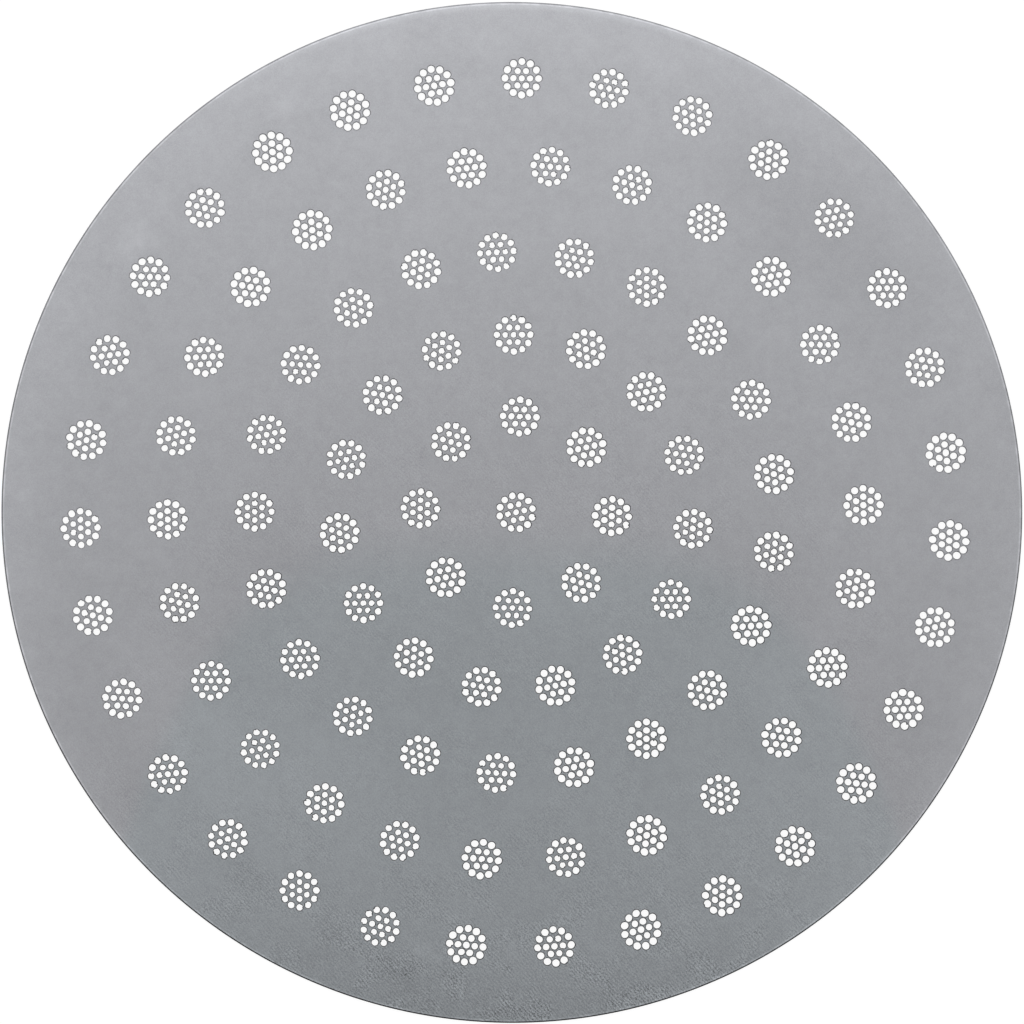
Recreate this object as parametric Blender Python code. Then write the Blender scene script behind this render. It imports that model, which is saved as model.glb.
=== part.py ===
"""An espresso puck screen: one thin round sheet of stainless steel, etched right through with clusters of
fine holes that stand on five rings round one cluster at the centre. Metres, +Z up. The underside lies at
z = 0 with its centre on the z axis, and the line that every ring of clusters starts from runs along +X."""

import math

import bmesh
import bpy
from mathutils import Matrix, Vector

# The blank. Its rim is etched from both faces, which leaves a low ridge halfway up.
DISC_DIAMETER = 0.0585
SHEET_THICKNESS = 0.0002
RIM_RIDGE = 0.000025
FLAT_RADIUS = DISC_DIAMETER / 2 - RIM_RIDGE
RIM_SIDES = 92

# The hole pattern, laid down a little off the blank's centre. Each gap is from one ring's radius to the next.
PATTERN_OFFSET_X = 0.00009
PATTERN_OFFSET_Y = -0.00016
CENTRE_TO_FIRST_RING = 0.00549
FIRST_TO_SECOND_RING = 0.00469
SECOND_TO_THIRD_RING = 0.00478
THIRD_TO_FOURTH_RING = 0.00498
FOURTH_TO_FIFTH_RING = 0.00498
RINGS_OF_CLUSTERS = (
    (8, CENTRE_TO_FIRST_RING),
    (15, FIRST_TO_SECOND_RING),
    (21, SECOND_TO_THIRD_RING),
    (26, THIRD_TO_FOURTH_RING),
    (31, FOURTH_TO_FIFTH_RING),
)

# One cluster: a hole in the middle, six holes one pitch out from it and twelve wider ones two pitches out.
HOLE_PITCH = 0.00048
INNER_HOLE_DIAMETER = 0.000335
OUTER_HOLE_DIAMETER = 0.00037
CLUSTER_REACH = 2 * HOLE_PITCH + OUTER_HOLE_DIAMETER / 2

# So many holes are cut here with few faces. The middle one is a triangle of its own area. Each of the six
# shares a wedge with two of the twelve, and this much metal between the wedges keeps the real open area.
WEDGES = 6
WEDGE_WEB = 0.00038


def polar(radius, angle):
    return Vector((radius * math.cos(angle), radius * math.sin(angle), 0))


def middle_opening():
    """An equilateral triangle with the area of the round middle hole."""
    corner_radius = INNER_HOLE_DIAMETER / 2 * math.sqrt(math.tau / (3 * math.sin(math.tau / 3)))
    return [polar(corner_radius, math.tau * corner / 3) for corner in range(3)]


def wedge_opening(number):
    """A triangle from the inner edge of the six holes, where its tip is, to the outer edge of the twelve."""
    middle_line = math.tau * (number + 0.5) / WEDGES
    half_angle = math.pi / WEDGES - math.asin(WEDGE_WEB / 2 / CLUSTER_REACH)
    return [
        polar(HOLE_PITCH - INNER_HOLE_DIAMETER / 2, middle_line),
        polar(CLUSTER_REACH, middle_line - half_angle),
        polar(CLUSTER_REACH, middle_line + half_angle),
    ]


def cluster_places():
    """Each cluster's turn about the pattern's centre and its distance from it. Rings go on while the disc has
    room, with at least one hole pitch of plain metal between their clusters and the rim."""
    yield 0.0, 0.0
    room = FLAT_RADIUS - HOLE_PITCH - CLUSTER_REACH
    ring_radius = 0.0
    for count, gap in RINGS_OF_CLUSTERS:
        ring_radius += gap
        if ring_radius > room:
            return
        for number in range(count):
            yield math.tau * number / count, ring_radius


def add_loop(sheet, corners):
    """A closed outline of edges through these points."""
    points = [sheet.verts.new(corner) for corner in corners]
    for start, end in zip(points, points[1:] + points[:1]):
        sheet.edges.new((start, end))


def draw_plan(sheet):
    """The underside's outlines: the rim, and each cluster's openings, turned to face the pattern's centre."""
    add_loop(sheet, [polar(FLAT_RADIUS, math.tau * side / RIM_SIDES) for side in range(RIM_SIDES)])
    openings = [middle_opening()] + [wedge_opening(number) for number in range(WEDGES)]
    pattern = Matrix.Translation((PATTERN_OFFSET_X, PATTERN_OFFSET_Y, 0))
    for turn, distance in cluster_places():
        place = pattern @ Matrix.Rotation(turn, 4, "Z") @ Matrix.Translation((distance, 0, 0))
        for opening in openings:
            add_loop(sheet, [place @ corner for corner in opening])


def raise_sheet(sheet):
    """Fills the plan between its outlines and draws it up to the sheet's thickness."""
    underside = bmesh.ops.triangle_fill(sheet, edges=sheet.edges[:], use_beauty=True)["geom"]
    raised = bmesh.ops.extrude_face_region(sheet, geom=underside, use_keep_orig=True)["geom"]
    top = [item for item in raised if isinstance(item, bmesh.types.BMVert)]
    bmesh.ops.translate(sheet, verts=top, vec=(0, 0, SHEET_THICKNESS))
    bmesh.ops.recalc_face_normals(sheet, faces=sheet.faces)


def on_the_rim(edge):
    return edge.verts[0].co.xy.length > FLAT_RADIUS - HOLE_PITCH


def push_out_rim_ridge(sheet):
    """Cuts the rim's upright edges halfway up and moves the cuts out to the disc's full diameter."""
    upright = [edge for edge in sheet.edges if edge.verts[0].co.xy == edge.verts[1].co.xy]
    rim = [edge for edge in upright if on_the_rim(edge)]
    cuts = bmesh.ops.subdivide_edges(sheet, edges=rim, cuts=1)["geom_inner"]
    ridge = [item for item in cuts if isinstance(item, bmesh.types.BMVert)]
    outward = DISC_DIAMETER / 2 / FLAT_RADIUS
    bmesh.ops.scale(sheet, verts=ridge, vec=(outward, outward, 1))


def etched_steel():
    material = bpy.data.materials.new("etched_steel")
    material.use_nodes = True
    shader = material.node_tree.nodes["Principled BSDF"]
    shader.inputs["Base Color"].default_value = (0.36, 0.37, 0.39, 1.0)
    shader.inputs["Metallic"].default_value = 1.0
    shader.inputs["Roughness"].default_value = 0.42
    return material


for old in list(bpy.data.objects):
    bpy.data.objects.remove(old, do_unlink=True)

sheet = bmesh.new()
draw_plan(sheet)
raise_sheet(sheet)
push_out_rim_ridge(sheet)

mesh = bpy.data.meshes.new("puck_screen")
sheet.to_mesh(mesh)
sheet.free()
mesh.materials.append(etched_steel())
bpy.context.scene.collection.objects.link(bpy.data.objects.new("puck_screen", mesh))
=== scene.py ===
"""An espresso puck screen of thin stainless sheet, etched right through with clusters of fine holes. It
lies on a white table under soft light. Metres, +Z up; the CAD model gives the sheet's size and place."""

import math
import random

import bpy
from mathutils import Matrix, Vector
from mathutils.geometry import delaunay_2d_cdt


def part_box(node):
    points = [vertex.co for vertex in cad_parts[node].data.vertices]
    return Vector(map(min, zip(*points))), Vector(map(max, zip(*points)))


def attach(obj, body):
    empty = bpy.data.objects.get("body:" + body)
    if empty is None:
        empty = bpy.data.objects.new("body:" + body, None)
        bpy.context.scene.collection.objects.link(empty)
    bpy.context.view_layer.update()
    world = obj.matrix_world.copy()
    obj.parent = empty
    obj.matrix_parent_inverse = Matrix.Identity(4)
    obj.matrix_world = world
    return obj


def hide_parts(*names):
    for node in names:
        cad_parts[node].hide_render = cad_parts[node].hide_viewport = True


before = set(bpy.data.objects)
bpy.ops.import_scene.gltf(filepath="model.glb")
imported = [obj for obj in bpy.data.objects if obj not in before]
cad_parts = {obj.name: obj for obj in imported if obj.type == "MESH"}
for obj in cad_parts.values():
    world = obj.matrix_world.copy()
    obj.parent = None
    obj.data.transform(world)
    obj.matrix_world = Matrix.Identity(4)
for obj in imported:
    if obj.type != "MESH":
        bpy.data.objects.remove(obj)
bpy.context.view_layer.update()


# The view. The camera looks down on the disc from half a metre away through a long lens. It leans a little
# from upright, and it is turned so that the pattern's start line points to the upper right.
MM = 0.001
lowest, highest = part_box("puck_screen")
DISC_RADIUS = (highest.x - lowest.x) / 2
THICKNESS = highest.z - lowest.z

LENS_MM = 300
CAMERA_DISTANCE = 488.55 * MM
CAMERA_LEAN = math.radians(3.04)
CAMERA_LEANS_TOWARDS = math.radians(180.48)
CAMERA_TURN = math.radians(-42.80)
AIM = Vector((-0.076 * MM, 0.011 * MM, THICKNESS))


def direction(lean, towards):
    """A unit vector that leans away from straight up by one angle, towards the other, measured from +X."""
    return Vector((math.sin(lean) * math.cos(towards), math.sin(lean) * math.sin(towards), math.cos(lean)))


picture_up = Vector((-math.sin(CAMERA_TURN), math.cos(CAMERA_TURN), 0))
picture_right = Vector((math.cos(CAMERA_TURN), math.sin(CAMERA_TURN), 0))

camera = bpy.data.objects.new("camera", bpy.data.cameras.new("camera"))
camera.data.lens = LENS_MM
backwards = direction(CAMERA_LEAN, CAMERA_LEANS_TOWARDS)
rightwards = picture_up.cross(backwards).normalized()
turn = Matrix((rightwards, backwards.cross(rightwards), backwards)).transposed()
camera.matrix_world = Matrix.Translation(AIM + backwards * CAMERA_DISTANCE) @ turn.to_4x4()
bpy.context.scene.collection.objects.link(camera)
bpy.context.scene.camera = camera


# The sheet: a round blank of stainless steel 0.2 mm thick with 1938 round holes. The acid works from both
# faces at once, so each hole is widest at the faces and narrows to a sharp ridge halfway through, and the
# rim comes out to one.
SHOULDER_INSET = 0.150 * MM
SHOULDER_DROP = 0.010 * MM
SHOULDER_WIDTH = 0.065 * MM
RIM_SIDES = 480

PATTERN_CENTRE = Vector((0.09, -0.16)) * MM
CLUSTERS_ON_RINGS = (8, 15, 21, 26, 31)
RING_GAPS = (5.49 * MM, 4.69 * MM, 4.78 * MM, 4.98 * MM, 4.98 * MM)

HOLE_PITCH = 0.4805 * MM
INNER_HOLE_RADIUS = 0.335 / 2 * MM
OUTER_HOLE_RADIUS = 0.370 / 2 * MM
INNER_UNDERCUT = 0.041 * MM
OUTER_UNDERCUT = 0.043 * MM
THINNEST_WEB = 0.012 * MM
BESIDE = 1.2 * HOLE_PITCH
FACING = 0.3
HOLE_SIDES = 16

# The bath bit harder towards the two ends of the blank, and no two holes came out quite alike. Where it bit
# least, the holes' edges are ragged.
ETCH_BASE = 1.041
ETCH_TO_THE_ENDS = 0.155
ETCH_TO_ONE_END = -0.038
ETCH_ACROSS = 0.036
CLUSTER_VARIATION = 0.055
HOLE_VARIATION = 0.05
LARGEST_SHARE = 1.18
HOLE_WANDER = 0.004 * MM
CLEAN_SHARE = 1.11
RAGGED_RANGE = 0.11
LEAST_RAGGED = 0.3
OVALNESS = 0.05
WAVINESS = 0.018
RAGGED_WAVINESS = 0.045
TEETH_PER_RAGGED_HOLE = 2.8
TOOTH_DEPTH = (0.09, 0.27)
BURRED_HOLES = 0.045
BURR_DEPTH = (0.25, 0.5)

chance = random.Random(58)


def around(radius, angle):
    return Vector((radius * math.cos(angle), radius * math.sin(angle)))


def etched_share(place):
    """How large a hole at this place came out, as a share of its drawn size."""
    along = place.y / DISC_RADIUS
    across = place.x / DISC_RADIUS
    return ETCH_BASE + ETCH_TO_THE_ENDS * along**2 + ETCH_TO_ONE_END * along + ETCH_ACROSS * across


def drawn_holes():
    """Each hole's centre, its radius as it came out of the bath, how much wider its mouth is, how ragged it
    is, from 0 to 1, and the way from it to every hole beside it."""
    clusters = [(0.0, 0.0)]
    ring_radius = 0.0
    for count, gap in zip(CLUSTERS_ON_RINGS, RING_GAPS):
        ring_radius += gap
        clusters += [(ring_radius, math.tau * number / count) for number in range(count)]
    for distance, turned in clusters:
        middle = PATTERN_CENTRE + around(distance, turned)
        places = [(middle, INNER_HOLE_RADIUS, INNER_UNDERCUT)]
        for number in range(6):
            place = middle + around(HOLE_PITCH, turned + math.tau * (number + 0.5) / 6)
            places.append((place, INNER_HOLE_RADIUS, INNER_UNDERCUT))
        for number in range(12):
            place = middle + around(2 * HOLE_PITCH, turned + math.tau * number / 12)
            places.append((place, OUTER_HOLE_RADIUS, OUTER_UNDERCUT))
        cluster_share = etched_share(middle) + chance.uniform(-CLUSTER_VARIATION, CLUSTER_VARIATION)
        raggedness = min(max((CLEAN_SHARE - cluster_share) / RAGGED_RANGE, 0), 1)
        raggedness *= chance.uniform(LEAST_RAGGED, 1)
        holes = []
        for place, radius, undercut in places:
            wander = around(chance.uniform(0, HOLE_WANDER), chance.uniform(0, math.tau))
            share = min(cluster_share + chance.uniform(-HOLE_VARIATION, HOLE_VARIATION), LARGEST_SHARE)
            holes.append((place + wander, radius * share, undercut * share))
        for centre, radius, undercut in holes:
            ways = [other - centre for other, _, _ in holes]
            neighbours = [way for way in ways if 0 < way.length < BESIDE]
            yield centre, radius, undercut, raggedness, neighbours


def hole_outline(raggedness):
    """How far each corner of a hole's ridge lies from the centre, as a share of its radius: a little oval,
    wavy and toothed where it is ragged, and now and then with a larger burr that the acid left."""
    oval_turn = chance.uniform(0, math.pi)
    ovalness = chance.uniform(0, OVALNESS)
    waviness = WAVINESS + raggedness * RAGGED_WAVINESS
    shares = []
    for side in range(HOLE_SIDES):
        angle = math.tau * side / HOLE_SIDES
        oval = 1 + ovalness * math.cos(2 * (angle - oval_turn))
        share = oval * (1 + chance.uniform(-waviness, waviness))
        if chance.random() < raggedness * TEETH_PER_RAGGED_HOLE / HOLE_SIDES:
            share -= chance.uniform(*TOOTH_DEPTH)
        shares.append(share)
    if chance.random() < BURRED_HOLES:
        shares[chance.randrange(HOLE_SIDES)] -= chance.uniform(*BURR_DEPTH)
    return shares


def room_for_mouth(way, neighbours):
    """How far a hole's mouth can reach this way before only the thinnest web is left to a hole beside it.
    Such a web is straight, and it is no limit to the ways that point well aside of that hole."""
    room = HOLE_PITCH
    for neighbour in neighbours:
        towards = way.dot(neighbour.normalized())
        if towards > FACING:
            room = min(room, (neighbour.length - THINNEST_WEB) / 2 / towards)
    return room


# Every outline is a stack of loops of points from the top face down to the underside. The faces between the
# outlines are filled last.
INSIDE_ONLY = 1
CLOSEST_MM = 1e-7
SHARP_ANGLE = math.radians(30)

corners = []
faces = []
top_outlines = []
underside_outlines = []


def add_stack(loops):
    """Adds loops of equally many points, joins each to the next with a wall, and notes the outer two."""
    sides = len(loops[0])
    starts = []
    for loop in loops:
        starts.append(len(corners))
        corners.extend(loop)
    for upper, lower in zip(starts, starts[1:]):
        for side in range(sides):
            after = (side + 1) % sides
            faces.append((upper + side, lower + side, lower + after, upper + after))
    top_outlines.append(range(starts[0], starts[0] + sides))
    underside_outlines.append(range(starts[-1], starts[-1] + sides))


def at_height(outline, height):
    """The points of a plan outline, lifted to one height."""
    return [point.to_3d() + Vector((0, 0, height)) for point in outline]


def ring(radius, height):
    return at_height([around(radius, math.tau * side / RIM_SIDES) for side in range(RIM_SIDES)], height)


shoulder_edge = DISC_RADIUS - SHOULDER_INSET
flank_edge = shoulder_edge + SHOULDER_WIDTH
add_stack([
    ring(shoulder_edge, THICKNESS),
    ring(flank_edge, THICKNESS - SHOULDER_DROP),
    ring(DISC_RADIUS, THICKNESS / 2),
    ring(flank_edge, SHOULDER_DROP),
    ring(shoulder_edge, 0),
])
for centre, radius, undercut, raggedness, neighbours in drawn_holes():
    ridge = []
    mouth = []
    for side, share in enumerate(hole_outline(raggedness)):
        # A hole runs the other way round than the rim, so that its wall faces the opening.
        way = around(1, -math.tau * side / HOLE_SIDES)
        reach = min(radius * (1 + share) / 2 + undercut, room_for_mouth(way, neighbours))
        mouth.append(centre + way * reach)
        ridge.append(centre + way * min(radius * share, reach))
    add_stack([at_height(mouth, THICKNESS), at_height(ridge, THICKNESS / 2), at_height(mouth, 0)])


def runs_along(triangle, outline):
    """Whether a triangle between three corners of one outline runs the way that the outline does. Every
    outline has the metal on its left, so only such a triangle is metal: at a hole, it fills the notch that
    a burr makes in the outline."""
    first, second, third = (outline.index(corner) for corner in triangle)
    sides = len(outline)
    return (second - first) % sides + (third - second) % sides + (first - third) % sides == sides


def fill_between(outlines):
    """Triangles over the metal between the rim's outline and the holes' outlines."""
    outline_of = {corner: number for number, outline in enumerate(outlines) for corner in outline}
    order = list(outline_of)
    place_in_order = {corner: place for place, corner in enumerate(order)}
    plan = [corners[corner].xy / MM for corner in order]
    edges = []
    for outline in outlines:
        places = [place_in_order[corner] for corner in outline]
        edges += list(zip(places, places[1:] + places[:1]))
    _, _, triangles, origins, _, _ = delaunay_2d_cdt(plan, edges, [], INSIDE_ONLY, CLOSEST_MM)
    for triangle in triangles:
        found = [order[origins[corner][0]] for corner in triangle]
        touched = {outline_of[corner] for corner in found}
        if len(touched) > 1 or runs_along(found, outlines[touched.pop()]):
            yield found


faces += list(fill_between(top_outlines))
faces += [triangle[::-1] for triangle in fill_between(underside_outlines)]

mesh = bpy.data.meshes.new("screen_sheet")
mesh.from_pydata(corners, [], faces)
mesh.validate()
mesh.shade_smooth()
mesh.set_sharp_from_angle(angle=SHARP_ANGLE)
sheet = bpy.data.objects.new("screen_sheet", mesh)
bpy.context.scene.collection.objects.link(sheet)


# The finish of the sheet: the mill's matt rolled skin on the faces and bare etched metal in the walls.
# The rim's shoulder has a painted highlight in patches, the face has lighter and darker patches, and a
# broad part in the picture's lower half has a faint painted blue-green shade.
class Tree:
    """A short way to write a node tree: a call adds a node, wires its inputs and gives back its outcome."""

    def __init__(self, owner):
        owner.use_nodes = True
        self.nodes = owner.node_tree.nodes
        self.links = owner.node_tree.links

    def wire(self, socket, value):
        if isinstance(value, bpy.types.NodeSocket):
            self.links.new(value, socket)
        else:
            socket.default_value = value

    def add(self, kind, settings=(), **inputs):
        node = self.nodes.new("ShaderNode" + kind)
        for name, value in dict(settings).items():
            setattr(node, name, value)
        for name, value in inputs.items():
            self.wire(node.inputs[name.replace("_", " ")], value)
        return node

    def math(self, operation, first, second=0.0):
        node = self.add("Math", {"operation": operation})
        self.wire(node.inputs[0], first)
        self.wire(node.inputs[1], second)
        return node.outputs[0]

    def vector(self, operation, *vectors, scale=None):
        """A vector, or a number where the operation is a length or a dot product."""
        node = self.add("VectorMath", {"operation": operation})
        for socket, value in zip(node.inputs, vectors):
            self.wire(socket, value)
        if scale is not None:
            self.wire(node.inputs["Scale"], scale)
        return node.outputs["Value" if operation in ("LENGTH", "DOT_PRODUCT") else "Vector"]

    def ramp(self, value, start, end, low=0.0, high=1.0):
        """Value from low at start to high at end, smooth between them and level beyond."""
        node = self.add("MapRange", {"interpolation_type": "SMOOTHSTEP"}, Value=value)
        for name, number in (("From Min", start), ("From Max", end), ("To Min", low), ("To Max", high)):
            self.wire(node.inputs[name], number)
        return node.outputs[0]

    def mix(self, share, first, second):
        node = self.add("Mix", {"data_type": "RGBA"})
        self.wire(node.inputs[0], share)
        self.wire(node.inputs[6], first)
        self.wire(node.inputs[7], second)
        return node.outputs[2]


steel = bpy.data.materials.new("etched_steel")
tree = Tree(steel)
shader = tree.nodes["Principled BSDF"]
place_mm = tree.vector("SCALE", tree.add("TexCoord").outputs["Object"], scale=1 / MM)


def noise(scale, detail=2.0, roughness=0.5, where=place_mm):
    """Noise about 0.5 with this many features to the millimetre."""
    node = tree.add("TexNoise", Vector=where, Scale=scale, Detail=detail, Roughness=roughness)
    return node.outputs["Fac"]


# Where a point lies, all in millimetres: how far down and to the right in the picture, how far from the
# disc's middle, and how high. The rim's flank is what lies outside the flat face.
lower = tree.vector("DOT_PRODUCT", place_mm, -picture_up)
sideways = tree.vector("DOT_PRODUCT", place_mm, picture_right)
from_centre = tree.vector("LENGTH", tree.vector("MULTIPLY", place_mm, (1, 1, 0)))
height = tree.add("SeparateXYZ", Vector=place_mm).outputs["Z"]
flank = tree.math("GREATER_THAN", from_centre, shoulder_edge / MM)

# How far below the nearer face a point lies tells a wall from a face. The rim's rounded shoulder is still
# face.
WALL_BEGINS_MM = (0.003, 0.018)

depth = tree.math("MINIMUM", height, tree.math("SUBTRACT", THICKNESS / MM, height))
depth = tree.math("SUBTRACT", depth, tree.math("MULTIPLY", flank, SHOULDER_DROP / MM))
wall = tree.ramp(depth, *WALL_BEGINS_MM)

# The painted blue-green shade is a broad dome that starts at the picture's middle, with a soft edge. What
# else changes there begins farther out.
DOME_WIDTH_MM = 11.0
DOME_BEND = 4.0
DOME_EDGE_MM = (0.3, 4.3)
ROUND_THE_DOME_MM = (-15.0, 0.0)

bend = tree.math("ABSOLUTE", tree.math("DIVIDE", sideways, DOME_WIDTH_MM))
dome = tree.math("SUBTRACT", lower, tree.math("POWER", bend, DOME_BEND))
# Mask of the painted blue-green shade on the face.
painted_shade_mask = tree.ramp(dome, *DOME_EDGE_MM)

# Rolling left fine broken strokes along Y. They come in patches and show most at the picture's lower edge.
STROKES_PER_MM = 1.83
STROKE_BENDS = 7.0
STROKE_DETAIL = 3.0
STROKE_DETAIL_SCALE = 1.6
STROKE_DETAIL_ROUGHNESS = 0.6
BREAKS_PER_MM = Vector((4.8, 0.6, 0.5))
GRAIN_PATCHES_PER_MM = 0.45
GRAIN_PATCH_EDGE = (0.42, 0.60)
PATCH_STRENGTH = (0.5, 1.4)
GRAIN_RISES_MM = (10.0, 28.0)
GRAIN_RISE_POWER = 2.9
GRAIN_AT_LOWER_EDGE = 0.85
GRAIN_IN_DOME = (0.03, 0.16)

strokes = tree.add("TexWave", {"bands_direction": "X"}, Vector=place_mm, Scale=STROKES_PER_MM,
                   Distortion=STROKE_BENDS, Detail=STROKE_DETAIL, Detail_Scale=STROKE_DETAIL_SCALE,
                   Detail_Roughness=STROKE_DETAIL_ROUGHNESS).outputs["Fac"]
breaks = noise(1.0, where=tree.vector("MULTIPLY", place_mm, BREAKS_PER_MM))
grain = tree.math("ADD", 0.5, tree.math("MULTIPLY", tree.math("SUBTRACT", strokes, 0.5), breaks))
rise = tree.add("MapRange", Value=lower, From_Min=GRAIN_RISES_MM[0], From_Max=GRAIN_RISES_MM[1]).outputs[0]
grain_strength = tree.math("MULTIPLY", tree.math("POWER", rise, GRAIN_RISE_POWER), GRAIN_AT_LOWER_EDGE)
grain_strength = tree.math("ADD", grain_strength, tree.ramp(dome, *ROUND_THE_DOME_MM, *GRAIN_IN_DOME))
patches = tree.ramp(noise(GRAIN_PATCHES_PER_MM), *GRAIN_PATCH_EDGE, *PATCH_STRENGTH)
grain_strength = tree.math("MULTIPLY", grain_strength, patches)

# The face's tone, as a share of its colour: painted shade a little deeper in the dome's upper part, and
# mottled in three sizes, each so many to the millimetre and so strong.
FACE_TONE = 1.014
DOME_SHADE = 0.05
DOME_SHADE_FADES_MM = (8.0, 18.0)
MOTTLES = ((1.6, 0.145), (0.5, 0.08), (0.15, 0.07))
MOTTLE_ROUGHNESS = 0.6

# Painted shade: the face darker in the dome's upper part.
shade = tree.math("MULTIPLY", painted_shade_mask, tree.ramp(lower, *DOME_SHADE_FADES_MM, DOME_SHADE, 0.0))
tone = tree.math("SUBTRACT", FACE_TONE, shade)
for per_mm, amount in MOTTLES:
    mottle = tree.math("SUBTRACT", noise(per_mm, roughness=MOTTLE_ROUGHNESS), 0.5)
    tone = tree.math("ADD", tone, tree.math("MULTIPLY", mottle, amount))

# Each patch: how far right and up it lies in the picture and its half length and width, all in
# millimetres, how it is turned, in degrees, and how much lighter it is than the face round it. A wobble
# roughens its edge.
FACE_PATCHES = (
    (-18.4, -11.9, 10.0, 4.0, -50, 0.060),
    (-10.4, -16.0, 7.5, 4.5, -45, 0.045),
    (-13.8, -2.6, 5.0, 3.0, 0, -0.045),
    (17.8, 16.2, 11.5, 5.5, -45, -0.080),
    (14.5, -3.5, 5.0, 2.8, -40, -0.035),
    (16.2, -10.6, 5.0, 3.5, -40, 0.035),
    (3.0, -4.6, 6.0, 3.5, -20, 0.032),
    (-21.6, 15.3, 1.6, 1.3, 20, 0.085),
    (-23.4, 14.2, 1.3, 0.4, -70, -0.055),
    (-21.3, 10.9, 1.6, 1.0, -60, -0.035),
    (-13.3, 23.2, 1.3, 0.9, 30, 0.075),
    (-27.8, 0.7, 1.1, 0.7, 80, 0.045),
    (-19.1, -13.4, 2.7, 0.7, -55, 0.045),
    (-15.3, -20.8, 2.1, 1.3, -40, -0.055),
    (-10.4, -24.0, 1.7, 1.0, -35, -0.060),
    (-6.5, -26.5, 2.0, 1.0, -30, -0.110),
    (-5.0, -25.2, 1.4, 0.7, -20, 0.070),
    (-1.2, 27.0, 1.3, 1.0, 0, 0.045),
    (-2.4, 25.8, 1.6, 0.7, 10, -0.035),
    (-5.1, 3.3, 0.4, 0.4, 0, -0.060),
    (3.4, -8.9, 0.5, 0.35, 30, -0.060),
    (11.1, -5.1, 2.2, 1.3, 50, -0.030),
    (17.4, -11.4, 1.2, 0.8, -40, -0.045),
    (18.4, -1.4, 2.4, 0.4, 85, 0.030),
    (19.4, 3.3, 1.2, 0.9, 20, 0.035),
    (14.0, -21.1, 1.5, 0.22, -50, 0.060),
    (17.8, -18.7, 0.9, 0.45, -30, 0.080),
)
FACE_PATCH_FADES = (0.1, 1.1)
FACE_PATCH_HEIGHT_MM = 100
WOBBLES_PER_MM = 1.1
WOBBLE_DETAIL = 3.0
WOBBLE_MM = 2.0

wobble = tree.add("TexNoise", Vector=place_mm, Scale=WOBBLES_PER_MM, Detail=WOBBLE_DETAIL).outputs["Color"]
wobbled = tree.vector("MULTIPLY_ADD", wobble, (WOBBLE_MM, WOBBLE_MM, 0.0), place_mm)
mean_wobble = Vector((WOBBLE_MM, WOBBLE_MM, 0.0)) / 2
for right, up, length, width, turned, lighter in FACE_PATCHES:
    spot = tree.add("Mapping", {"vector_type": "TEXTURE"}, Vector=wobbled,
                    Location=picture_right * right + picture_up * up + mean_wobble,
                    Rotation=(0, 0, CAMERA_TURN + math.radians(turned)),
                    Scale=(length, width, FACE_PATCH_HEIGHT_MM))
    away = tree.vector("LENGTH", spot.outputs[0])
    tone = tree.math("ADD", tone, tree.ramp(away, *FACE_PATCH_FADES, lighter, 0.0))

# A fine speckle lies over the whole face. It and the strokes change the tone, most where the strokes are
# strong.
SPECKLE_PER_MM = 18.0
SPECKLE_DETAIL = 1.0
SPECKLE_TONE = (0.28, 0.29)
SPECKLE_WITH_GRAIN = 1.3
GRAIN_TONE = 0.62

speckle = tree.math("SUBTRACT", noise(SPECKLE_PER_MM, SPECKLE_DETAIL), 0.5)
speckle_tone = tree.ramp(dome, *ROUND_THE_DOME_MM, *SPECKLE_TONE)
speckle_tone = tree.math("ADD", speckle_tone, tree.math("MULTIPLY", grain_strength, SPECKLE_WITH_GRAIN))
tone = tree.math("ADD", tone, tree.math("MULTIPLY", speckle, speckle_tone))
grain_tone = tree.math("MULTIPLY", tree.math("SUBTRACT", grain, 0.5), grain_strength)
tone = tree.math("ADD", tone, tree.math("MULTIPLY", grain_tone, GRAIN_TONE))

# The shoulder has a painted highlight in patches. The face is a little darker towards the rim, and at the
# picture's upper side the last half millimetre is lighter.
SHOULDER_PAINTED_HIGHLIGHT = 0.24
SHOULDER_HIGHLIGHT_STARTS = 0.03 * MM
SHOULDER_HIGHLIGHT_PATCHES_PER_MM = 1.6
SHOULDER_HIGHLIGHT_PATCH_EDGE = (0.35, 0.65)
EDGE_SHADE = 0.032
EDGE_SHADE_MM = (25.0, 29.0)
UPPER_RIM_LIGHTENING = 0.14
UPPER_RIM_WIDTH = 0.55 * MM
UPPER_RIM_FADES_MM = (-29.0, -22.0)

# Painted highlight along the rim's shoulder, in patches.
shoulder_highlight = tree.ramp(from_centre, (shoulder_edge - SHOULDER_HIGHLIGHT_STARTS) / MM, shoulder_edge / MM)
shoulder_highlight_patches = tree.ramp(noise(SHOULDER_HIGHLIGHT_PATCHES_PER_MM), *SHOULDER_HIGHLIGHT_PATCH_EDGE, *PATCH_STRENGTH)
shoulder_highlight = tree.math("MULTIPLY", shoulder_highlight, shoulder_highlight_patches)
tone = tree.math("ADD", tone, tree.math("MULTIPLY", shoulder_highlight, SHOULDER_PAINTED_HIGHLIGHT))
tone = tree.math("SUBTRACT", tone, tree.ramp(from_centre, *EDGE_SHADE_MM, 0.0, EDGE_SHADE))
upper_rim_band = tree.ramp(from_centre, (DISC_RADIUS - UPPER_RIM_WIDTH) / MM, shoulder_edge / MM)
upper_rim_band = tree.math("MULTIPLY", upper_rim_band, tree.ramp(lower, *UPPER_RIM_FADES_MM, 1.0, 0.0))
tone = tree.math("ADD", tone, tree.math("MULTIPLY", upper_rim_band, UPPER_RIM_LIGHTENING))

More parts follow.
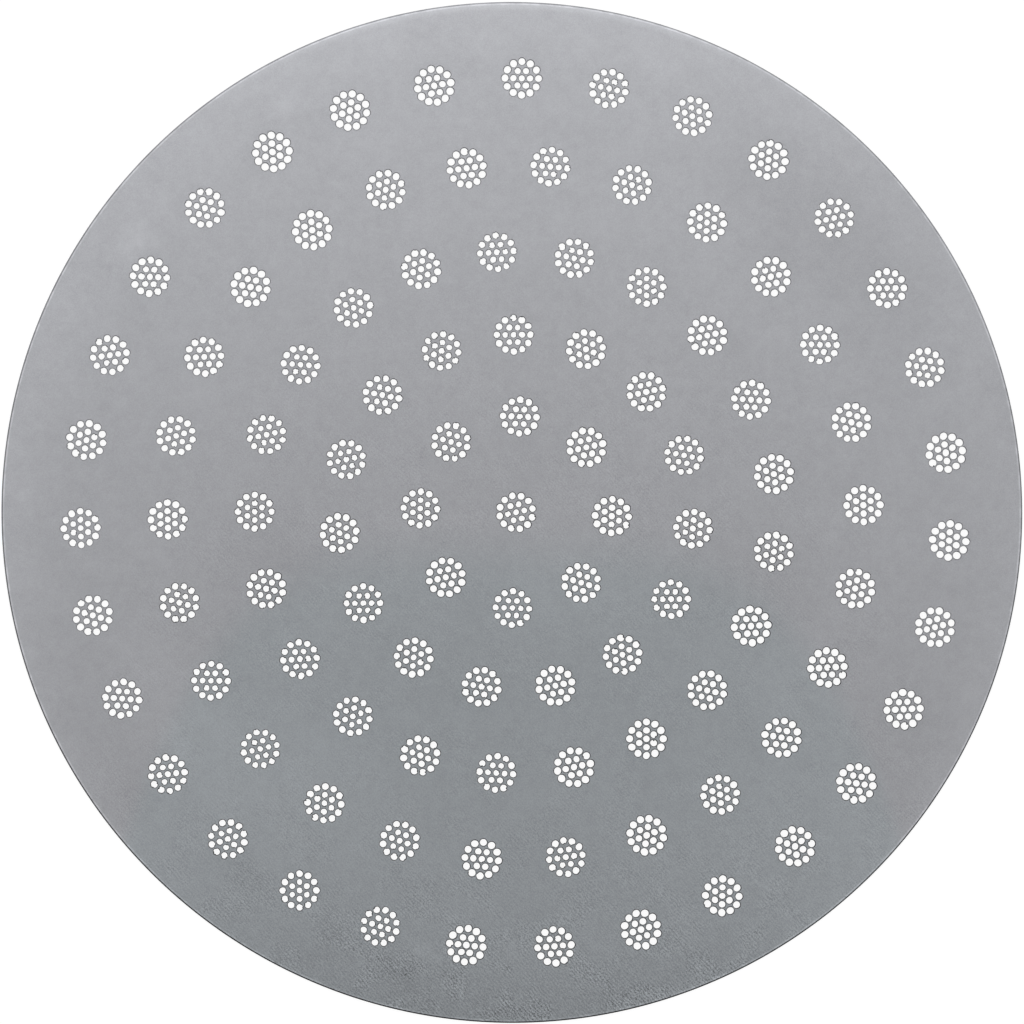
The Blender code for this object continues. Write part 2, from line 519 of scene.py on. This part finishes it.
# The walls are dull etched metal, and their near-black colour is mostly painted shade in the holes and on
# the rim's flank. Round the dome the hole walls get a painted grey reflection, and the rim's flank gets a
# painted highlight, most at the picture's upper side.
FACE_COLOUR = (0.366, 0.370, 0.3897, 1.0)
FACE_PAINTED_SHADE_COLOUR = (0.3507, 0.3715, 0.391, 1.0)
WALL_METAL_AND_SHADE_COLOUR = (0.014, 0.015, 0.017, 1.0)
WALL_PAINTED_REFLECTION = 0.55
WALL_PAINTED_REFLECTION_MM = (-16.0, 2.0)
FLANK_PAINTED_HIGHLIGHT = 0.74
FLANK_PAINTED_HIGHLIGHT_MM = (-29.0, 34.0)
FACE_ROUGHNESS = 0.45
WALL_ROUGHNESS = 0.60
GRAIN_RELIEF = 0.0010 * MM

# Painted highlight on the rim's flank, strongest at the picture's upper side.
painted_wall_light = tree.math("MULTIPLY", flank, tree.ramp(lower, *FLANK_PAINTED_HIGHLIGHT_MM, FLANK_PAINTED_HIGHLIGHT, 0.0))
# Painted grey reflection in the hole walls round the dome.
painted_wall_reflection = tree.ramp(dome, *WALL_PAINTED_REFLECTION_MM, WALL_PAINTED_REFLECTION, 0.0)
painted_wall_reflection = tree.math("MULTIPLY", tree.math("SUBTRACT", 1.0, flank), painted_wall_reflection)
painted_wall_light = tree.math("ADD", painted_wall_light, painted_wall_reflection)
# Elsewhere the walls take the near-black colour: dull metal and painted shade.
wall_metal_and_shade_share = tree.math("MULTIPLY", wall, tree.math("SUBTRACT", 1.0, painted_wall_light))
# Inside the dome the face takes its painted blue-green shade colour.
face = tree.vector("SCALE", tree.mix(painted_shade_mask, FACE_COLOUR, FACE_PAINTED_SHADE_COLOUR), scale=tone)
tree.wire(shader.inputs["Base Color"], tree.mix(wall_metal_and_shade_share, face, WALL_METAL_AND_SHADE_COLOUR))
shader.inputs["Metallic"].default_value = 1.0
roughness = tree.math("ADD", FACE_ROUGHNESS, tree.math("MULTIPLY", wall, WALL_ROUGHNESS - FACE_ROUGHNESS))
tree.wire(shader.inputs["Roughness"], roughness)
bump = tree.add("Bump", Height=tree.math("MULTIPLY", grain, grain_strength), Distance=GRAIN_RELIEF)
tree.wire(shader.inputs["Normal"], bump.outputs["Normal"])
mesh.materials.append(steel)

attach(sheet, "root")
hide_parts("puck_screen")


# The table: a plain white surface just under the disc, wide enough to reach the horizon. It glows a touch
# less than white where the lamps add to it, and pure white farther out.
TABLE_SIDE = 4.0
TABLE_DROP = 0.01 * MM
TABLE_WHITE = 0.885
TABLE_SHADE = 0.14
TABLE_ROUGHNESS = 0.9
LAMPLIT_REACH = (0.06, 0.35)

table_mesh = bpy.data.meshes.new("table")
half = TABLE_SIDE / 2
table_corners = [(-half, -half, 0), (half, -half, 0), (half, half, 0), (-half, half, 0)]
table_mesh.from_pydata(table_corners, [], [(0, 1, 2, 3)])
table = bpy.data.objects.new("table", table_mesh)
table.location.z = lowest.z - TABLE_DROP
bpy.context.scene.collection.objects.link(table)

white = bpy.data.materials.new("white_table")
tree = Tree(white)
shader = tree.nodes["Principled BSDF"]
shader.inputs["Base Color"].default_value = (TABLE_SHADE, TABLE_SHADE, TABLE_SHADE, 1.0)
shader.inputs["Roughness"].default_value = TABLE_ROUGHNESS
shader.inputs["Specular IOR Level"].default_value = 0.0
shader.inputs["Emission Color"].default_value = (1, 1, 1, 1)
ray = tree.add("LightPath").outputs
mirrored = tree.math("MAXIMUM", ray["Is Glossy Ray"], ray["Is Transmission Ray"])
seen = tree.math("MAXIMUM", ray["Is Camera Ray"], mirrored)
outward = tree.vector("LENGTH", tree.add("TexCoord").outputs["Object"])
glow = tree.ramp(outward, *LAMPLIT_REACH, TABLE_WHITE, 1.0)
tree.wire(shader.inputs["Emission Strength"], tree.math("MULTIPLY", seen, glow))
table_mesh.materials.append(white)


# The light: a soft panel on the far side of the picture, two small ones beside the disc, and a white room
# with a dimmer ceiling.
PANEL_HEIGHT = 0.133
KEY_AWAY = 0.158
KEY_WIDTH = 0.152
KEY_DEPTH = 0.27
KEY_BRIGHTNESS = 1.43
SIDE_APART = 0.121
SIDE_WIDTH = 0.146
LEFT_AWAY = -0.03
LEFT_BRIGHTNESS = 1.24
RIGHT_AWAY = -0.05
RIGHT_BRIGHTNESS = 1.01
CEILING_BRIGHTNESS = 0.24


def add_panel(name, right, up, height, width, depth, brightness):
    """A flat soft light that faces down, placed in the picture's own directions."""
    data = bpy.data.lights.new(name, "AREA")
    data.shape = "RECTANGLE"
    data.size = width
    data.size_y = depth
    data.energy = brightness * math.pi * width * depth
    panel = bpy.data.objects.new(name, data)
    panel.location = picture_right * right + picture_up * up + Vector((0, 0, height))
    panel.rotation_euler.z = CAMERA_TURN
    bpy.context.scene.collection.objects.link(panel)


add_panel("key_panel", 0, KEY_AWAY, PANEL_HEIGHT, KEY_WIDTH, KEY_DEPTH, KEY_BRIGHTNESS)
add_panel("left_panel", -SIDE_APART, LEFT_AWAY, PANEL_HEIGHT, SIDE_WIDTH, SIDE_WIDTH, LEFT_BRIGHTNESS)
add_panel("right_panel", SIDE_APART, RIGHT_AWAY, PANEL_HEIGHT, SIDE_WIDTH, SIDE_WIDTH, RIGHT_BRIGHTNESS)

world = bpy.data.worlds.new("white_room")
bpy.context.scene.world = world
tree = Tree(world)
room = tree.nodes["Background"]
room.inputs["Color"].default_value = (1, 1, 1, 1)
look = tree.add("SeparateXYZ", Vector=tree.add("TexCoord").outputs["Generated"]).outputs["Z"]
overhead = tree.math("MAXIMUM", look, 0.0)
brightness = tree.math("SUBTRACT", 1.0, tree.math("MULTIPLY", overhead, 1 - CEILING_BRIGHTNESS))
eye = tree.add("LightPath").outputs["Is Camera Ray"]
tree.wire(room.inputs["Strength"], tree.math("MAXIMUM", brightness, eye))

bpy.context.scene.view_settings.view_transform = "Standard"
